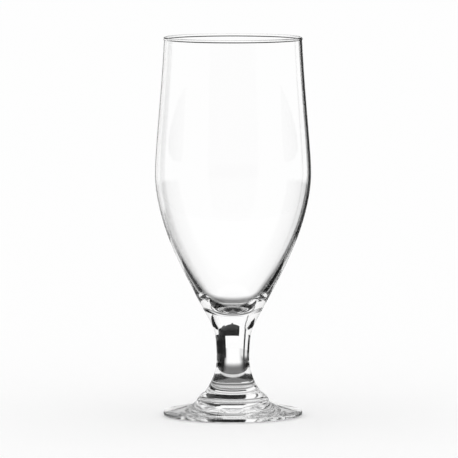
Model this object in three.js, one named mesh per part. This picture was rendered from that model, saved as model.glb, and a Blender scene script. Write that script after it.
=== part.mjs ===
// A stemmed beer glass in clear glass: a tulip-shaped bowl, a drawn stem and a round foot, fused end to end.
// Millimetres, +Z up. The axis of the glass is the Z axis and the foot rests on the plane Z = 0.
import * as THREE from "three";

// Heights, stacked from the table to the rim
const FOOT_HEIGHT = 11.3;
const STEM_LENGTH = 27.3;
const FILLET_RISE = 6.6;
const CONE_HEIGHT = 16.8;
const BELLY_RISE = 56;
const SIDE_HEIGHT = 65;

// Outside radii, from the rim down
const RIM_RADIUS = 33.4;
const BELLY_RADIUS = 37.75;
const CONE_TOP_RADIUS = 20.1;
const CONE_BASE_RADIUS = 11.05;
const BOWL_JOINT_RADIUS = 8.62;
const WAIST_RADIUS = 7.88;
const FOOT_JOINT_RADIUS = 13.9;
const HUB_RADIUS = 17.3;
const FOOT_RADIUS = 33.5;

// Wall of the bowl: even from the rim to the belly, then thicker down to a solid heel
const WALL = 1;
const HEEL_WALL = 3.5;
const HEEL_DEPTH = 11.9;
const RIM_SWELL = 0.3;

// Reach of the handles that draw the bowl's curves, along their tangents
const RIM_LEAN = 0.05;
const RIM_REACH = 28;
const BELLY_REACH_UP = 10;
const BELLY_REACH_DOWN = 18;
const CONE_REACH = 18;
const FILLET_REACH_UP = 1.6;
const FILLET_REACH_DOWN = 2.1;
const INSIDE_LEAN = 0.68;
const INSIDE_REACH = 24;
const INSIDE_BELLY_REACH = 11;
const WELL_REACH = 7.3;
const FLOOR_REACH = 7;

// Stem: how far the waist lies below the bowl
const WAIST_DROP = 10.6;

// Foot: a hub under the stem, a plate that thins to a rounded edge, and a hollow underside
const HUB_SHOULDER = 2.2;
const HUB_ROUND = 1.7;
const HUB_SIDE = 0.2;
const PLATE_EASE = 2.6;
const PLATE_SLOPE = 0.2;
const EDGE_THICKNESS = 2.2;
const REST_WIDTH = 2.9;
const HOLLOW_DEPTH = 2.4;

// Facets round the axis and along each curved stretch
const SIDES = 60;
const LONG_STEPS = 10;
const SHORT_STEPS = 6;
const SAME_POINT = 0.01;

// Heights that the pieces share
const bowlBase = FOOT_HEIGHT + STEM_LENGTH;
const coneBase = bowlBase + FILLET_RISE;
const coneTop = coneBase + CONE_HEIGHT;
const belly = coneTop + BELLY_RISE;
const rim = belly + SIDE_HEIGHT;
const waist = bowlBase - WAIST_DROP;

const point = (radius, height) => new THREE.Vector2(radius, height);

// A smooth stretch through two handles, as points
function curve(start, startHandle, endHandle, end, steps) {
  return new THREE.CubicBezierCurve(start, startHandle, endHandle, end).getPoints(steps);
}

// A round stretch about a centre, from one angle to another in radians
function arc(centre, radius, from, to, steps) {
  const clockwise = to < from;
  return new THREE.EllipseCurve(centre.x, centre.y, radius, radius, from, to, clockwise).getPoints(steps);
}

// A round stretch that stands upright at one end, the waist, and passes through the other
function flare(upright, end, steps) {
  const spread = end.x - upright.x;
  const run = end.y - upright.y;
  const radius = (spread * spread + run * run) / (2 * spread);
  const sweep = Math.asin(run / radius);
  return arc(point(upright.x + radius, upright.y), radius, Math.PI, Math.PI - sweep, steps);
}

// A solid of revolution about Z from an outline that starts and ends on the axis
function turned(name, outline, material) {
  const distinct = outline.filter((p, i) => i === 0 || p.distanceTo(outline[i - 1]) > SAME_POINT);
  const geometry = new THREE.LatheGeometry(distinct, SIDES);
  geometry.rotateX(Math.PI / 2);
  const mesh = new THREE.Mesh(geometry, material);
  mesh.name = name;
  return mesh;
}

function clearGlass() {
  return new THREE.MeshStandardMaterial({
    color: 0xeef3f2,
    roughness: 0.04,
    metalness: 0,
    transparent: true,
    opacity: 0.35,
  });
}

// Bowl: a fillet out of the stem, a straight cone, a full belly and sides that lean in to a beaded rim
function bowl() {
  const beadRadius = WALL / 2 + RIM_SWELL;
  const beadCentre = point(RIM_RADIUS - WALL / 2, rim - beadRadius);
  const beadDip = Math.acos(WALL / 2 / beadRadius);
  const wallTop = beadCentre.y - beadRadius * Math.sin(beadDip);
  const stemLean = Math.tan(2 * Math.atan((BOWL_JOINT_RADIUS - WAIST_RADIUS) / WAIST_DROP));
  const coneLean = (CONE_TOP_RADIUS - CONE_BASE_RADIUS) / CONE_HEIGHT;
  const insideBelly = BELLY_RADIUS - WALL;
  const insideRim = RIM_RADIUS - WALL;
  const wellTop = point(CONE_TOP_RADIUS - HEEL_WALL, coneTop);
  const floor = bowlBase + HEEL_DEPTH;

  const fillet = curve(
    point(BOWL_JOINT_RADIUS, bowlBase),
    point(BOWL_JOINT_RADIUS + stemLean * FILLET_REACH_UP, bowlBase + FILLET_REACH_UP),
    point(CONE_BASE_RADIUS - coneLean * FILLET_REACH_DOWN, coneBase - FILLET_REACH_DOWN),
    point(CONE_BASE_RADIUS, coneBase),
    SHORT_STEPS,
  );
  const lowerOutside = curve(
    point(CONE_TOP_RADIUS, coneTop),
    point(CONE_TOP_RADIUS + coneLean * CONE_REACH, coneTop + CONE_REACH),
    point(BELLY_RADIUS, belly - BELLY_REACH_DOWN),
    point(BELLY_RADIUS, belly),
    LONG_STEPS,
  );
  const upperOutside = curve(
    point(BELLY_RADIUS, belly),
    point(BELLY_RADIUS, belly + BELLY_REACH_UP),
    point(RIM_RADIUS + RIM_LEAN * RIM_REACH, wallTop - RIM_REACH),
    point(RIM_RADIUS, wallTop),
    SHORT_STEPS,
  );
  const bead = arc(beadCentre, beadRadius, -beadDip, Math.PI + beadDip, LONG_STEPS);
  const upperInside = curve(
    point(insideRim, wallTop),
    point(insideRim + RIM_LEAN * RIM_REACH, wallTop - RIM_REACH),
    point(insideBelly, belly + BELLY_REACH_UP),
    point(insideBelly, belly),
    SHORT_STEPS,
  );
  const lowerInside = curve(
    point(insideBelly, belly),
    point(insideBelly, belly - INSIDE_BELLY_REACH),
    point(wellTop.x + INSIDE_LEAN * INSIDE_REACH, wellTop.y + INSIDE_REACH),
    wellTop,
    LONG_STEPS,
  );
  const well = curve(
    wellTop,
    point(wellTop.x - INSIDE_LEAN * WELL_REACH, wellTop.y - WELL_REACH),
    point(FLOOR_REACH, floor),
    point(0, floor),
    SHORT_STEPS,
  );
  const outline = [
    point(0, bowlBase),
    ...fillet,
    ...lowerOutside,
    ...upperOutside,
    ...bead,
    ...upperInside,
    ...lowerInside,
    ...well,
  ];
  return turned("bowl", outline, clearGlass());
}

// Stem: a solid drawn stem that swells gently to the bowl and widely to the foot
function stem() {
  const narrow = point(WAIST_RADIUS, waist);
  const toFoot = flare(narrow, point(FOOT_JOINT_RADIUS, FOOT_HEIGHT), LONG_STEPS).reverse();
  const toBowl = flare(narrow, point(BOWL_JOINT_RADIUS, bowlBase), SHORT_STEPS);
  const outline = [point(0, FOOT_HEIGHT), ...toFoot, ...toBowl, point(0, bowlBase)];
  return turned("stem", outline, clearGlass());
}

// Foot: a thin plate that stands on a ring round a hollow and carries the stem on a raised hub
function foot() {
  const edgeRadius = EDGE_THICKNESS / 2;
  const edgeCentre = point(FOOT_RADIUS - edgeRadius, edgeRadius);
  const edgeTilt = Math.PI / 2 - Math.atan(PLATE_SLOPE);
  const restInside = edgeCentre.x - REST_WIDTH;
  const domeRadius = (restInside * restInside + HOLLOW_DEPTH * HOLLOW_DEPTH) / (2 * HOLLOW_DEPTH);
  const domeEdge = Math.acos(restInside / domeRadius);
  const plateEnd = point(
    edgeCentre.x + edgeRadius * Math.cos(edgeTilt),
    edgeCentre.y + edgeRadius * Math.sin(edgeTilt),
  );
  const easeRadius = HUB_RADIUS + PLATE_EASE;
  const ease = point(easeRadius, plateEnd.y + PLATE_SLOPE * (plateEnd.x - easeRadius));
  const shoulder = point(HUB_RADIUS, FOOT_HEIGHT - HUB_SHOULDER);
  const hubSide = point(HUB_RADIUS, shoulder.y - HUB_ROUND);
  const hubBase = point(HUB_RADIUS, hubSide.y - HUB_SIDE);
  const hubTop = point(FOOT_JOINT_RADIUS, FOOT_HEIGHT);

  const hollow = arc(point(0, HOLLOW_DEPTH - domeRadius), domeRadius, Math.PI / 2, domeEdge, SHORT_STEPS);
  const edge = arc(edgeCentre, edgeRadius, -Math.PI / 2, edgeTilt, SHORT_STEPS);
  const plate = new THREE.QuadraticBezierCurve(plateEnd, ease, hubBase).getPoints(SHORT_STEPS);
  const hub = new THREE.QuadraticBezierCurve(hubSide, shoulder, hubTop).getPoints(SHORT_STEPS);
  const outline = [
    point(0, HOLLOW_DEPTH),
    ...hollow,
    point(restInside, 0),
    ...edge,
    ...plate,
    ...hub,
    point(0, FOOT_HEIGHT),
  ];
  return turned("foot", outline, clearGlass());
}

const glass = new THREE.Group();
glass.add(bowl(), stem(), foot());

export default glass;
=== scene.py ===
"""A stemmed beer glass in clear glass, modelled and dressed on its frame for a bright studio picture.

The three bodies of the glass, bowl, stem and foot, are turned solids about the upright axis. They are
drawn finer than the frame's own solids, from the same sizes, and stand exactly where those stand. Lengths
are in metres, and angles in radians unless a note says degrees.
"""
from __future__ import annotations

import logging
import math
from dataclasses import dataclass
from enum import Enum
from typing import Iterable, Sequence

import bpy
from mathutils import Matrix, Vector
from mathutils.geometry import interpolate_bezier

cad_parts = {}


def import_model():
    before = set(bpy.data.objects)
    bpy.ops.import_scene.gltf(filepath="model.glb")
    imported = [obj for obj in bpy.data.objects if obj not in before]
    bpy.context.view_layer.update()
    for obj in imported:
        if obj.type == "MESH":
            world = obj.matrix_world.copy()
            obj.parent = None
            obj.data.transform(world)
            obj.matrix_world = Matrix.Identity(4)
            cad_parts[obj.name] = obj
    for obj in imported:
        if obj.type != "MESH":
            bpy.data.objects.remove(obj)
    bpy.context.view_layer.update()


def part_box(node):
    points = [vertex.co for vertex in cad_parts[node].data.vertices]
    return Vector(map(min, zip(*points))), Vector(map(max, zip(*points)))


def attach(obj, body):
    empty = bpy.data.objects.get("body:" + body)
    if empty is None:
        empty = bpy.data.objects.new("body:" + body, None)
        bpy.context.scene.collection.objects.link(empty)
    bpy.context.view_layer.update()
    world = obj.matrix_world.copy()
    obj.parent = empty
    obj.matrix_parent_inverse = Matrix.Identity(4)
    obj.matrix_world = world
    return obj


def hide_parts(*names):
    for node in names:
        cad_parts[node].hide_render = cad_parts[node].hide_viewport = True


LOG = logging.getLogger("beer_glass")

BODY = "root"

# Fineness of the turned meshes
SPIN_STEPS = 240
LONG_STEPS = 44
SHORT_STEPS = 22
SAME_POINT = 2e-6
SHARP_EDGE = math.radians(14)
SEED_SIZE = 0.001

# Light paths through thick glass are long, and each weld takes two transparent steps
GLASS_BOUNCES = 64
TRANSPARENT_BOUNCES = 96

# Noise of the polish: a soft wave, and finer patches of haze
WAVE_NOISE_SCALE = 1.0
WAVE_NOISE_DETAIL = 1.0
HAZE_NOISE_SCALE = 3.0
HAZE_NOISE_DETAIL = 3.0

# Framing of the picture: the axis of the glass stands a little to the right of its middle
IMAGE_PIXELS = 458
AXIS_PIXELS_RIGHT = 3.95
FOCAL_PIXELS = 5583.9
SENSOR_WIDTH_MM = 36.0


class Surface(Enum):
    """Places of a turned solid, named for the finish that they carry."""

    POLISHED = 0
    WELD = 1


class Shade(Enum):
    """How bright a studio card is, as a share of white."""

    BLACK = 0.015
    CHARCOAL = 0.06


def point(radius: float, height: float) -> Vector:
    """A point of an outline, in the upright half plane that is spun."""
    return Vector((radius, 0.0, height))


def arc(centre: Vector, radius: float, start: float, end: float, steps: int) -> list[Vector]:
    """A round stretch of an outline.

    Args:
        centre: Centre of the arc.
        radius: Radius of the arc.
        start: Angle of its first point, in radians from the outward direction.
        end: Angle of its last point.
        steps: Number of chords.

    Returns:
        The points from start to end.
    """
    angles = [start + (end - start) * i / steps for i in range(steps + 1)]
    return [centre + point(radius * math.cos(a), radius * math.sin(a)) for a in angles]


def curve(start: Vector, leaving: Vector, arriving: Vector, end: Vector, steps: int) -> list[Vector]:
    """A smooth stretch of an outline, drawn by two handles.

    Args:
        start: First point.
        leaving: Handle that the curve leaves towards.
        arriving: Handle that it arrives from.
        end: Last point.
        steps: Number of chords.

    Returns:
        The points from start to end.
    """
    return interpolate_bezier(start, leaving, arriving, end, steps + 1)


def eased(start: Vector, corner: Vector, end: Vector, steps: int) -> list[Vector]:
    """A stretch that rounds off one corner between two points.

    Args:
        start: First point.
        corner: Corner that the stretch rounds off.
        end: Last point.
        steps: Number of chords.

    Returns:
        The points from start to end.
    """
    two_thirds = 2 / 3
    return curve(start, start.lerp(corner, two_thirds), end.lerp(corner, two_thirds), end, steps)


def flare(upright: Vector, end: Vector, steps: int) -> list[Vector]:
    """A round stretch that stands upright at the waist and passes through another point.

    Args:
        upright: The waist.
        end: The other end.
        steps: Number of chords.

    Returns:
        The points from the waist to the end.
    """
    spread = end.x - upright.x
    run = end.z - upright.z
    radius = (spread * spread + run * run) / (2 * spread)
    sweep = math.asin(run / radius)
    return arc(upright + point(radius, 0.0), radius, math.pi, math.pi - sweep, steps)


def distinct(outline: Iterable[Vector]) -> list[Vector]:
    """Leaves out the points of an outline that repeat their neighbour.

    Args:
        outline: Points in order.

    Returns:
        The points that stand apart from the one before.
    """
    kept: list[Vector] = []
    for p in outline:
        if not kept or (p - kept[-1]).length > SAME_POINT:
            kept.append(p)
    return kept


def turned(name: str, outline: Sequence[Vector]) -> bpy.types.Object:
    """Models a solid of revolution: a vertex is drawn out along the outline, and the line is spun.

    Args:
        name: Name of the piece.
        outline: Points of the outline, from the axis round to the axis again.

    Returns:
        The piece, closed, smooth and facing outwards, with its place in its mesh.
    """
    bpy.ops.object.select_all(action="DESELECT")
    bpy.ops.mesh.primitive_plane_add(size=SEED_SIZE, location=(0.0, 0.0, 0.0))
    piece = bpy.context.object
    piece.name = name
    piece.data.name = name
    bpy.ops.object.mode_set(mode="EDIT")
    bpy.ops.mesh.select_all(action="SELECT")
    bpy.ops.mesh.merge(type="CENTER")
    bpy.ops.transform.translate(value=outline[0])
    for here, there in zip(outline, outline[1:]):
        bpy.ops.mesh.extrude_vertices_move(TRANSFORM_OT_translate={"value": there - here})
    bpy.ops.mesh.select_all(action="SELECT")
    bpy.ops.mesh.spin(steps=SPIN_STEPS, angle=math.tau, center=(0.0, 0.0, 0.0), axis=(0.0, 0.0, 1.0))
    bpy.ops.mesh.select_all(action="SELECT")
    bpy.ops.mesh.remove_doubles(threshold=SAME_POINT)
    bpy.ops.mesh.normals_make_consistent(inside=False)
    bpy.ops.object.mode_set(mode="OBJECT")
    bpy.ops.object.shade_smooth_by_angle(angle=SHARP_EDGE)
    return piece


@dataclass(frozen=True)
class GlassFinish:
    """Fire-polished clear glass: faint waves left by forming, and a trace of handling on the polish.

    Attributes:
        name: Name of the material.
        wave_scale: Waves to a metre, along X, Y and Z.
        wave_depth: Depth of the waves.
        haze: Roughness of the least polished patches.
        tint: Colour that the glass gives to light at each surface.
        ior: Index of refraction.
        gleam: Share of the mirror reflection that is left on faces seen straight on, as on coated glass.
    """

    name: str
    wave_scale: tuple[float, float, float]
    wave_depth: float
    haze: float
    tint: tuple[float, float, float] = (1.0, 1.0, 1.0)
    ior: float = 1.52
    gleam: float = 0.15

    def material(self, polish: bpy.types.NodeTree) -> bpy.types.Material:
        """Builds the material.

        Args:
            polish: The shared node group of waves and haze.

        Returns:
            A material of clear glass with this finish's own values.
        """
        made = bpy.data.materials.new(self.name)
        made.use_nodes = True
        nodes = made.node_tree.nodes
        links = made.node_tree.links
        shader = nodes["Principled BSDF"]
        shader.inputs["Base Color"].default_value = (*self.tint, 1.0)
        shader.inputs["Transmission Weight"].default_value = 1.0
        shader.inputs["IOR"].default_value = self.ior
        shader.inputs["Specular Tint"].default_value = (self.gleam, self.gleam, self.gleam, 1.0)
        coordinates = nodes.new("ShaderNodeTexCoord")
        stretch = nodes.new("ShaderNodeMapping")
        stretch.inputs["Scale"].default_value = self.wave_scale
        surface = nodes.new("ShaderNodeGroup")
        surface.node_tree = polish
        surface.inputs["Haze"].default_value = self.haze
        bump = nodes.new("ShaderNodeBump")
        bump.inputs["Distance"].default_value = self.wave_depth
        links.new(coordinates.outputs["Object"], stretch.inputs["Vector"])
        links.new(stretch.outputs["Vector"], surface.inputs["Place"])
        links.new(surface.outputs["Wave"], bump.inputs["Height"])
        links.new(surface.outputs["Roughness"], shader.inputs["Roughness"])
        links.new(bump.outputs["Normal"], shader.inputs["Normal"])
        return made


BLOWN = GlassFinish("blown_bowl_glass", wave_scale=(26.0, 26.0, 18.0), wave_depth=0.00003, haze=0.004)
DRAWN = GlassFinish("drawn_stem_glass", wave_scale=(90.0, 90.0, 24.0), wave_depth=0.00002, haze=0.004)
PRESSED = GlassFinish("pressed_foot_glass", wave_scale=(60.0, 60.0, 60.0), wave_depth=0.00001, haze=0.08)


def polish_group() -> bpy.types.NodeTree:
    """Builds the node group that all the glass shares.

    Returns:
        A group that turns a place into the height of a faint wave and the roughness of the polish there.
    """
    group = bpy.data.node_groups.new("fire_polish", "ShaderNodeTree")
    group.interface.new_socket("Place", in_out="INPUT", socket_type="NodeSocketVector")
    group.interface.new_socket("Haze", in_out="INPUT", socket_type="NodeSocketFloat")
    group.interface.new_socket("Wave", in_out="OUTPUT", socket_type="NodeSocketFloat")
    group.interface.new_socket("Roughness", in_out="OUTPUT", socket_type="NodeSocketFloat")
    entry = group.nodes.new("NodeGroupInput")
    leave = group.nodes.new("NodeGroupOutput")
    wave = group.nodes.new("ShaderNodeTexNoise")
    wave.inputs["Scale"].default_value = WAVE_NOISE_SCALE
    wave.inputs["Detail"].default_value = WAVE_NOISE_DETAIL
    patches = group.nodes.new("ShaderNodeTexNoise")
    patches.inputs["Scale"].default_value = HAZE_NOISE_SCALE
    patches.inputs["Detail"].default_value = HAZE_NOISE_DETAIL
    haze = group.nodes.new("ShaderNodeMath")
    haze.operation = "MULTIPLY"
    group.links.new(entry.outputs["Place"], wave.inputs["Vector"])
    group.links.new(entry.outputs["Place"], patches.inputs["Vector"])
    group.links.new(patches.outputs["Fac"], haze.inputs[0])
    group.links.new(entry.outputs["Haze"], haze.inputs[1])
    group.links.new(wave.outputs["Fac"], leave.inputs["Wave"])
    group.links.new(haze.outputs["Value"], leave.inputs["Roughness"])
    return group


def weld_material() -> bpy.types.Material:
    """Builds the melted seam between two bodies of glass.

    Returns:
        A material that light crosses unbent.
    """
    made = bpy.data.materials.new("melted_weld")
    made.use_nodes = True
    made.node_tree.nodes["Principled BSDF"].inputs["Alpha"].default_value = 0.0
    return made


def dress(
    piece: bpy.types.Object,
    finish: bpy.types.Material,
    weld: bpy.types.Material,
    seams: Sequence[float],
) -> None:
    """Gives a piece of glass its finish, and its flat seams the melted weld.

    Args:
        piece: The piece.
        finish: Material of its polished surface.
        weld: Material of its seams.
        seams: Heights of the flat faces where it is melted to its neighbours.
    """
    piece.data.materials.clear()
    piece.data.materials.append(finish)
    piece.data.materials.append(weld)
    for face in piece.data.polygons:
        heights = [piece.data.vertices[v].co.z for v in face.vertices]
        on_seam = any(all(abs(z - seam) < SAME_POINT for z in heights) for seam in seams)
        face.material_index = Surface.WELD.value if on_seam else Surface.POLISHED.value


def seat(piece: bpy.types.Object, node: str) -> None:
    """Puts a piece in the place of a node of the frame.

    Args:
        piece: The finished piece.
        node: Name of the node that it stands for.
    """
    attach(piece, BODY)
    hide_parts(node)


@dataclass
class Bowl:
    """The tulip bowl: a fillet out of the stem, a cone, a full belly, and sides that lean in to the rim.

    A lean is how far a wall spreads for its rise. A reach is how far a curve's handle goes: up or down the
    axis, or at the floor out from it.
    """

    base: float
    rim: float
    belly_radius: float
    rim_radius: float = 0.0334
    joint_radius: float = 0.00862
    joint_lean: float = 0.1403
    fillet_rise: float = 0.0066
    fillet_reach_up: float = 0.0016
    fillet_reach_down: float = 0.0021
    cone_height: float = 0.0168
    cone_base_radius: float = 0.01105
    cone_top_radius: float = 0.0201
    belly_rise: float = 0.056
    wall: float = 0.0010
    rim_swell: float = 0.0003
    heel_wall: float = 0.0035
    heel_depth: float = 0.0119
    rim_lean: float = 0.05
    rim_reach: float = 0.028
    belly_reach_up: float = 0.010
    belly_reach_down: float = 0.018
    cone_reach: float = 0.018
    inside_lean: float = 0.68
    inside_reach: float = 0.024
    inside_belly_reach: float = 0.011
    well_reach: float = 0.0073
    floor_reach: float = 0.007

    @classmethod
    def on_frame(cls) -> Bowl:
        """A bowl of the frame's own height and width."""
        low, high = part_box("bowl")
        return cls(base=low.z, rim=high.z, belly_radius=high.x)

    def outside(self) -> list[Vector]:
        """Draws the outer wall.

        Returns:
            The outline from the seam on the axis up to the bead.
        """
        cone_base = point(self.cone_base_radius, self.base + self.fillet_rise)
        cone_top = self.cone_top()
        belly = cone_top + self.belly_rise
        lean = (self.cone_top_radius - self.cone_base_radius) / self.cone_height
        joint = point(self.joint_radius, self.base)
        return [
            point(0.0, self.base),
            *curve(
                joint,
                joint + point(self.joint_lean * self.fillet_reach_up, self.fillet_reach_up),
                cone_base - point(lean * self.fillet_reach_down, self.fillet_reach_down),
                cone_base,
                SHORT_STEPS,
            ),
            *curve(
                point(self.cone_top_radius, cone_top),
                point(self.cone_top_radius + lean * self.cone_reach, cone_top + self.cone_reach),
                point(self.belly_radius, belly - self.belly_reach_down),
                point(self.belly_radius, belly),
                LONG_STEPS,
            ),
            *curve(
                point(self.belly_radius, belly),
                point(self.belly_radius, belly + self.belly_reach_up),
                point(self.rim_radius + self.rim_lean * self.rim_reach, self.wall_top() - self.rim_reach),
                point(self.rim_radius, self.wall_top()),
                LONG_STEPS,
            ),
        ]

    def cone_top(self) -> float:
        """Height at which the straight cone turns into the belly."""
        return self.base + self.fillet_rise + self.cone_height

    def bead_radius(self) -> float:
        """Radius of the bead that fire polishing leaves on the rim."""
        return self.wall / 2 + self.rim_swell

    def bead_dip(self) -> float:
        """Angle below the bead's centre at which the wall meets the bead."""
        return math.acos(self.wall / 2 / self.bead_radius())

    def wall_top(self) -> float:
        """Height at which the wall meets the bead."""
        return self.rim - self.bead_radius() * (1 + math.sin(self.bead_dip()))

    def bead(self) -> list[Vector]:
        """Outline of the beaded rim, from the outer wall over to the inner one."""
        centre = point(self.rim_radius - self.wall / 2, self.rim - self.bead_radius())
        return arc(centre, self.bead_radius(), -self.bead_dip(), math.pi + self.bead_dip(), SHORT_STEPS)

    def inside(self) -> list[Vector]:
        """Draws the inner wall.

        Returns:
            The outline from the bead down to the floor of the heel on the axis.
        """
        cone_top = self.cone_top()
        belly = cone_top + self.belly_rise
        belly_radius = self.belly_radius - self.wall
        rim_radius = self.rim_radius - self.wall
        well_top = point(self.cone_top_radius - self.heel_wall, cone_top)
        floor = self.base + self.heel_depth
        return [
            *curve(
                point(rim_radius, self.wall_top()),
                point(rim_radius + self.rim_lean * self.rim_reach, self.wall_top() - self.rim_reach),
                point(belly_radius, belly + self.belly_reach_up),
                point(belly_radius, belly),
                LONG_STEPS,
            ),
            *curve(
                point(belly_radius, belly),
                point(belly_radius, belly - self.inside_belly_reach),
                well_top + point(self.inside_lean * self.inside_reach, self.inside_reach),
                well_top,
                LONG_STEPS,
            ),
            *curve(
                well_top,
                well_top - point(self.inside_lean * self.well_reach, self.well_reach),
                point(self.floor_reach, floor),
                point(0.0, floor),
                LONG_STEPS,
            ),
        ]

    def build(self) -> bpy.types.Object:
        """Models the bowl."""
        return turned("bowl_glass", distinct([*self.outside(), *self.bead(), *self.inside()]))

    def dress(self, piece: bpy.types.Object, polish: bpy.types.NodeTree, weld: bpy.types.Material) -> None:
        """Finishes the bowl and seats it on the frame."""
        dress(piece, BLOWN.material(polish), weld, [self.base])
        seat(piece, "bowl")


@dataclass
class Stem:
    """The solid stem, drawn to a waist, which swells a little to the bowl and widely to the foot."""

    base: float
    top: float
    foot_joint_radius: float
    bowl_joint_radius: float = 0.00862
    waist_radius: float = 0.00788
    waist_drop: float = 0.0106

    @classmethod
    def on_frame(cls) -> Stem:
        """A stem of the frame's own length and spread."""
        low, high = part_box("stem")
        return cls(base=low.z, top=high.z, foot_joint_radius=high.x)

    def build(self) -> bpy.types.Object:
        """Models the stem.

        Returns:
            The piece, still without its finish.
        """
        waist = point(self.waist_radius, self.top - self.waist_drop)
        to_foot = flare(waist, point(self.foot_joint_radius, self.base), LONG_STEPS)
        to_bowl = flare(waist, point(self.bowl_joint_radius, self.top), SHORT_STEPS)
        outline = [point(0.0, self.base), *reversed(to_foot), *to_bowl, point(0.0, self.top)]
        return turned("stem_glass", distinct(outline))

    def dress(self, piece: bpy.types.Object, polish: bpy.types.NodeTree, weld: bpy.types.Material) -> None:
        """Finishes the stem and seats it on the frame."""
        dress(piece, DRAWN.material(polish), weld, [self.base, self.top])
        seat(piece, "stem")


@dataclass
class Foot:
    """The round foot: a raised hub, a plate that thins to an upright edge, and a hollow underside."""

    top: float
    radius: float
    joint_radius: float
    hub_radius: float = 0.0173
    hub_shoulder: float = 0.0022
    hub_round: float = 0.0017
    hub_side: float = 0.0002
    plate_ease: float = 0.0026
    plate_slope: float = 0.2
    edge_thickness: float = 0.0022
    low_corner: float = 0.00045
    high_corner: float = 0.0005
    rest_width: float = 0.0029
    hollow_depth: float = 0.0024

    @classmethod
    def on_frame(cls) -> Foot:
        """A foot of the frame's own height and width, whose hub takes the stem's spread."""
        _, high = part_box("foot")
        _, stem_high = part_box("stem")
        return cls(top=high.z, radius=high.x, joint_radius=stem_high.x)

    def edge(self, plate_end: Vector, tilt: float) -> list[Vector]:
        """Draws the edge: an upright polished face between two softened corners.

        Args:
            plate_end: Point on the plate's slope, close to the edge.
            tilt: Angle of the plate's own normal from the outward direction.

        Returns:
            The points from the underside up to the plate.
        """
        low = point(self.radius - self.low_corner, self.low_corner)
        reach = self.radius - self.high_corner * (1 - math.cos(tilt))
        rise = plate_end.z + self.plate_slope * (plate_end.x - reach)
        high = point(self.radius - self.high_corner, rise - self.high_corner * math.sin(tilt))
        return [
            *arc(low, self.low_corner, -math.pi / 2, 0.0, SHORT_STEPS),
            *arc(high, self.high_corner, 0.0, tilt, SHORT_STEPS),
        ]

    def build(self) -> bpy.types.Object:
        """Models the foot.

        Returns:
            The piece, still without its finish.
        """
        edge_radius = self.edge_thickness / 2
        edge_centre = point(self.radius - edge_radius, edge_radius)
        edge_tilt = math.pi / 2 - math.atan(self.plate_slope)
        plate_end = edge_centre + point(
            edge_radius * math.cos(edge_tilt),
            edge_radius * math.sin(edge_tilt),
        )
        rest_inside = edge_centre.x - self.rest_width
        dome_radius = (rest_inside**2 + self.hollow_depth**2) / (2 * self.hollow_depth)
        dome_centre = point(0.0, self.hollow_depth - dome_radius)
        dome_edge = math.acos(rest_inside / dome_radius)
        ease_radius = self.hub_radius + self.plate_ease
        ease = point(ease_radius, plate_end.z + self.plate_slope * (plate_end.x - ease_radius))
        shoulder = point(self.hub_radius, self.top - self.hub_shoulder)
        hub_side = shoulder - point(0.0, self.hub_round)
        hub_base = hub_side - point(0.0, self.hub_side)
        edge = self.edge(plate_end, edge_tilt)
        outline = [
            *arc(dome_centre, dome_radius, math.pi / 2, dome_edge, LONG_STEPS),
            point(rest_inside, 0.0),
            *edge,
            *eased(edge[-1], ease, hub_base, LONG_STEPS),
            *eased(hub_side, shoulder, point(self.joint_radius, self.top), SHORT_STEPS),
            point(0.0, self.top),
        ]
        return turned("foot_glass", distinct(outline))

    def dress(self, piece: bpy.types.Object, polish: bpy.types.NodeTree, weld: bpy.types.Material) -> None:
        """Finishes the foot and seats it on the frame."""
        dress(piece, PRESSED.material(polish), weld, [self.top])
        seat(piece, "foot")


@dataclass(frozen=True)
class Card:
    """A flat studio card, upright and facing the glass, that only the glass shows.

    Attributes:
        name: Name of the card.
        shade: How bright it is.
        left: Turn of its left edge about the glass, in degrees to the right of the camera's view line.
        right: Turn of its right edge, likewise.
        distance: From the axis of the glass.
        top: Height of its upper edge above the table.
        bottom: Height of its lower edge, which is a little below the table on a card that stands on it.
    """

    name: str
    shade: Shade
    left: float
    right: float
    distance: float
    top: float
    bottom: float = -0.05

    def build(self) -> bpy.types.Object:
        """Stands the card up, facing the glass.

        Returns:
            The card, which only the glass shows.
        """
        turn = math.radians((self.left + self.right) / 2)
        spread = math.radians((self.right - self.left) / 2)
        place = (
            self.distance * math.sin(turn),
            self.distance * math.cos(turn),
            (self.bottom + self.top) / 2,
        )
        bpy.ops.object.select_all(action="DESELECT")
        bpy.ops.mesh.primitive_plane_add(size=1.0, location=place, rotation=(math.pi / 2, 0.0, -turn))
        card = bpy.context.object
        card.name = self.name
        card.scale = (2 * self.distance * math.tan(spread), self.top - self.bottom, 1.0)
        card.data.materials.append(shade_material(self.name, self.shade.value))
        only_in_glass(card)
        return card


def shade_material(name: str, level: float) -> bpy.types.Material:
    """An even shade that no light changes.

    Args:
        name: Name of the material.
        level: Brightness, where 1 is white.

    Returns:
        The material.
    """
    made = bpy.data.materials.new(name)
    made.use_nodes = True
    nodes = made.node_tree.nodes
    nodes.clear()
    glow = nodes.new("ShaderNodeEmission")
    glow.inputs["Strength"].default_value = level
    out = nodes.new("ShaderNodeOutputMaterial")
    made.node_tree.links.new(glow.outputs["Emission"], out.inputs["Surface"])
    return made


def only_in_glass(item: bpy.types.Object) -> None:
    """Leaves a studio item out of the picture and of the light on the table, but not out of the glass.

    Args:
        item: A card or the shade on the table.
    """
    item.visible_camera = False
    item.visible_diffuse = False
    item.visible_shadow = False


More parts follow.
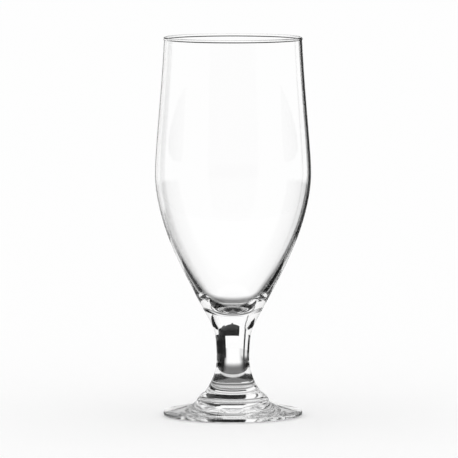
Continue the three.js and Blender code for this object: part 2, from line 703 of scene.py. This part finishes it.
CARDS = (
    Card("right_flag", Shade.BLACK, left=17.0, right=42.0, distance=0.24, top=0.2),
    Card("right_low_flag", Shade.BLACK, left=40.0, right=80.0, distance=0.11, top=0.075),
    Card("left_low_flag", Shade.BLACK, left=-85.0, right=-48.0, distance=0.11, top=0.075),
    Card("left_strip", Shade.CHARCOAL, left=-33.0, right=-27.0, distance=0.15, top=0.2),
    Card("top_panel", Shade.BLACK, left=-14.0, right=24.0, distance=1.0, top=0.66, bottom=0.337),
    Card("rim_panel", Shade.BLACK, left=-50.0, right=50.0, distance=0.1, top=0.3, bottom=0.193),
    Card("back_panel", Shade.BLACK, left=-14.0, right=24.0, distance=3.0, top=1.02, bottom=0.5),
    Card("front_room", Shade.CHARCOAL, left=142.0, right=218.0, distance=1.2, top=0.8),
)


@dataclass(frozen=True)
class Fade:
    """A smooth change of shade over a stretch of table.

    Attributes:
        start: Where the change starts, a distance or a turn.
        end: Where it ends.
        start_shade: Brightness at the start and before it.
        end_shade: Brightness at the end and after it.
    """

    start: float
    end: float
    start_shade: float
    end_shade: float

    def node(self, tree: bpy.types.NodeTree, source: bpy.types.NodeSocket) -> bpy.types.NodeSocket:
        """Adds the change to a material.

        Args:
            tree: The material's nodes.
            source: Distance or turn that it runs along.

        Returns:
            The brightness.
        """
        fade = tree.nodes.new("ShaderNodeMapRange")
        fade.interpolation_type = "SMOOTHSTEP"
        fade.inputs["From Min"].default_value = self.start
        fade.inputs["From Max"].default_value = self.end
        fade.inputs["To Min"].default_value = self.start_shade
        fade.inputs["To Max"].default_value = self.end_shade
        tree.links.new(source, fade.inputs["Value"])
        return fade.outputs["Result"]


@dataclass
class TableShade:
    """Painted shade on the white table under and behind the foot, which only the glass shows.

    Attributes:
        radius: Radius of the disc that carries the shade.
        drop: How far the disc lies below the foot.
        under_stem: Under the foot, by distance from the axis: dark under the hub.
        under_edge: Under the foot, by distance from the axis: ends at the foot's edge.
        behind: Past the foot, by distance from the axis: dim at first, then white.
        to_right: Past the foot, by turn: black to the right.
        to_left: Past the foot, by turn: nearly black to the left.
        far_left: To the left, by distance from the axis: pale again far off.
        side_left: To the left, by turn: where that pale part ends.
        under_back: Under the foot, by distance behind the axis: a little dimmer there.
        front: By distance behind the axis: white in front of the foot.
    """

    radius: float = 0.9
    drop: float = 0.0001
    under_stem: Fade = Fade(0.016, 0.024, 0.03, 1.0)
    under_edge: Fade = Fade(0.033, 0.037, 1.0, 0.0)
    behind: Fade = Fade(0.062, 0.130, 0.18, 1.0)
    to_right: Fade = Fade(math.radians(11.0), math.radians(24.0), 1.0, 0.0)
    to_left: Fade = Fade(math.radians(-13.0), math.radians(-30.0), 1.0, 0.07)
    far_left: Fade = Fade(0.12, 0.38, 0.0, 0.8)
    side_left: Fade = Fade(math.radians(-46.0), math.radians(-54.0), 1.0, 0.0)
    under_back: Fade = Fade(0.005, 0.02, 1.0, 0.8)
    front: Fade = Fade(-0.045, -0.034, 1.0, 0.0)

    def build(self) -> bpy.types.Object:
        """Lays the shade on the table.

        Returns:
            The disc, which only the glass shows.
        """
        place = (0.0, 0.0, -self.drop)
        bpy.ops.object.select_all(action="DESELECT")
        bpy.ops.mesh.primitive_circle_add(radius=self.radius, fill_type="NGON", location=place)
        disc = bpy.context.object
        disc.name = "table_shade"
        disc.data.materials.append(self.material())
        only_in_glass(disc)
        return disc

    def material(self) -> bpy.types.Material:
        """Builds the painted shade from its changes by distance and by turn.

        Returns:
            The material of the disc.
        """
        # Painted shade: the disc glows at the level of the shade round the foot, and no light changes it
        made = shade_material("table_shade", 1.0)
        tree = made.node_tree
        coordinates = tree.nodes.new("ShaderNodeTexCoord")
        distance = tree.nodes.new("ShaderNodeVectorMath")
        distance.operation = "LENGTH"
        across = tree.nodes.new("ShaderNodeSeparateXYZ")
        tree.links.new(coordinates.outputs["Object"], distance.inputs[0])
        tree.links.new(coordinates.outputs["Object"], across.inputs["Vector"])
        away = distance.outputs["Value"]
        back = across.outputs["Y"]
        turn = combined(tree, "ARCTAN2", across.outputs["X"], back)
        under = self.under_stem.node(tree, away)
        under = combined(tree, "MULTIPLY", under, self.under_edge.node(tree, away))
        under = combined(tree, "MULTIPLY", under, self.under_back.node(tree, back))
        left = self.far_left.node(tree, away)
        left = combined(tree, "MULTIPLY", left, self.side_left.node(tree, turn))
        left = combined(tree, "MAXIMUM", self.to_left.node(tree, turn), left)
        past = self.behind.node(tree, away)
        past = combined(tree, "MULTIPLY", past, self.to_right.node(tree, turn))
        past = combined(tree, "MULTIPLY", past, left)
        level = combined(tree, "MAXIMUM", under, past)
        level = combined(tree, "MAXIMUM", level, self.front.node(tree, back))
        tree.links.new(level, tree.nodes["Emission"].inputs["Strength"])
        return made


def combined(
    tree: bpy.types.NodeTree,
    operation: str,
    first: bpy.types.NodeSocket,
    second: bpy.types.NodeSocket,
) -> bpy.types.NodeSocket:
    """Adds a calculation with two values to a material.

    Args:
        tree: The material's nodes.
        operation: Name of the operation.
        first: First value.
        second: Second value.

    Returns:
        The result.
    """
    both = tree.nodes.new("ShaderNodeMath")
    both.operation = operation
    tree.links.new(first, both.inputs[0])
    tree.links.new(second, both.inputs[1])
    return both.outputs["Value"]


@dataclass
class Studio:
    """A white table in a white room, with cards round the glass that turn with the camera.

    Attributes:
        table_size: Length of the table's sides.
        table_drop: How far the table lies below the foot, under the disc of shade.
        table_white: Share of the light that the table gives back.
        table_roughness: Roughness of the table's matt surface.
        camera_distance: From the axis of the glass.
        camera_height: Above the table.
        camera_pitch: How far the camera looks down.
    """

    table_size: float = 40.0
    table_drop: float = 0.0002
    table_white: float = 0.99
    table_roughness: float = 0.9
    camera_distance: float = 2.685
    camera_height: float = 0.319
    camera_pitch: float = math.radians(4.87)

    def room(self) -> None:
        """Lights everything evenly from a white world."""
        world = bpy.data.worlds.new("white_room")
        bpy.context.scene.world = world
        world.use_nodes = True
        light = world.node_tree.nodes["Background"]
        light.inputs["Color"].default_value = (1.0, 1.0, 1.0, 1.0)
        light.inputs["Strength"].default_value = 1.0

    def table(self) -> bpy.types.Object:
        """Lays the white table that the glass stands on.

        Returns:
            The table.
        """
        white = self.table_white
        bpy.ops.object.select_all(action="DESELECT")
        bpy.ops.mesh.primitive_plane_add(size=self.table_size, location=(0.0, 0.0, -self.table_drop))
        table = bpy.context.object
        table.name = "table"
        made = bpy.data.materials.new("white_table")
        made.use_nodes = True
        shader = made.node_tree.nodes["Principled BSDF"]
        shader.inputs["Base Color"].default_value = (white, white, white, 1.0)
        shader.inputs["Roughness"].default_value = self.table_roughness
        shader.inputs["Specular IOR Level"].default_value = 0.0
        table.data.materials.append(made)
        return table

    def camera(self) -> bpy.types.Object:
        """Sets up the camera at the picture's viewing angle.

        Returns:
            The camera.
        """
        data = bpy.data.cameras.new("camera")
        data.sensor_width = SENSOR_WIDTH_MM
        data.lens = FOCAL_PIXELS / IMAGE_PIXELS * SENSOR_WIDTH_MM
        camera = bpy.data.objects.new("camera", data)
        bpy.context.scene.collection.objects.link(camera)
        camera.location = (0.0, -self.camera_distance, self.camera_height)
        yaw = math.atan(AXIS_PIXELS_RIGHT / FOCAL_PIXELS)
        camera.rotation_euler = (math.pi / 2 - self.camera_pitch, 0.0, yaw)
        bpy.context.scene.camera = camera
        return camera

    def turntable(self, camera: bpy.types.Object) -> bpy.types.Object:
        """Sets up an upright axis that turns with the camera, so that each view is lit alike.

        Args:
            camera: The camera that it follows.

        Returns:
            The axis.
        """
        bpy.ops.object.empty_add(location=(0.0, 0.0, 0.0))
        axis = bpy.context.object
        axis.name = "turntable"
        follow = axis.constraints.new("COPY_ROTATION")
        follow.target = camera
        follow.use_x = False
        follow.use_y = False
        return axis

    def build(self) -> None:
        """Sets the studio up round the glass."""
        self.room()
        self.table()
        axis = self.turntable(self.camera())
        # The disc of painted shade on the table and the cards hang on the axis that turns with the camera
        for item in (TableShade(), *CARDS):
            stood = item.build()
            stood.parent = axis
            LOG.info("studio item %s", stood.name)


def render_settings() -> None:
    """Plain view settings, and light paths long enough for thick glass."""
    scene = bpy.context.scene
    scene.view_settings.view_transform = "Standard"
    scene.cycles.max_bounces = GLASS_BOUNCES
    scene.cycles.transmission_bounces = GLASS_BOUNCES
    scene.cycles.glossy_bounces = GLASS_BOUNCES
    scene.cycles.transparent_max_bounces = TRANSPARENT_BOUNCES


def main() -> None:
    """Builds the glass and its studio on the frame."""
    logging.basicConfig(level=logging.INFO, format="%(name)s: %(message)s")
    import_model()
    render_settings()
    Studio().build()
    polish = polish_group()
    weld = weld_material()
    for body in (Bowl.on_frame(), Stem.on_frame(), Foot.on_frame()):
        piece = body.build()
        body.dress(piece, polish, weld)
        LOG.info("%s: %d faces", piece.name, len(piece.data.polygons))


if __name__ == "__main__":
    main()
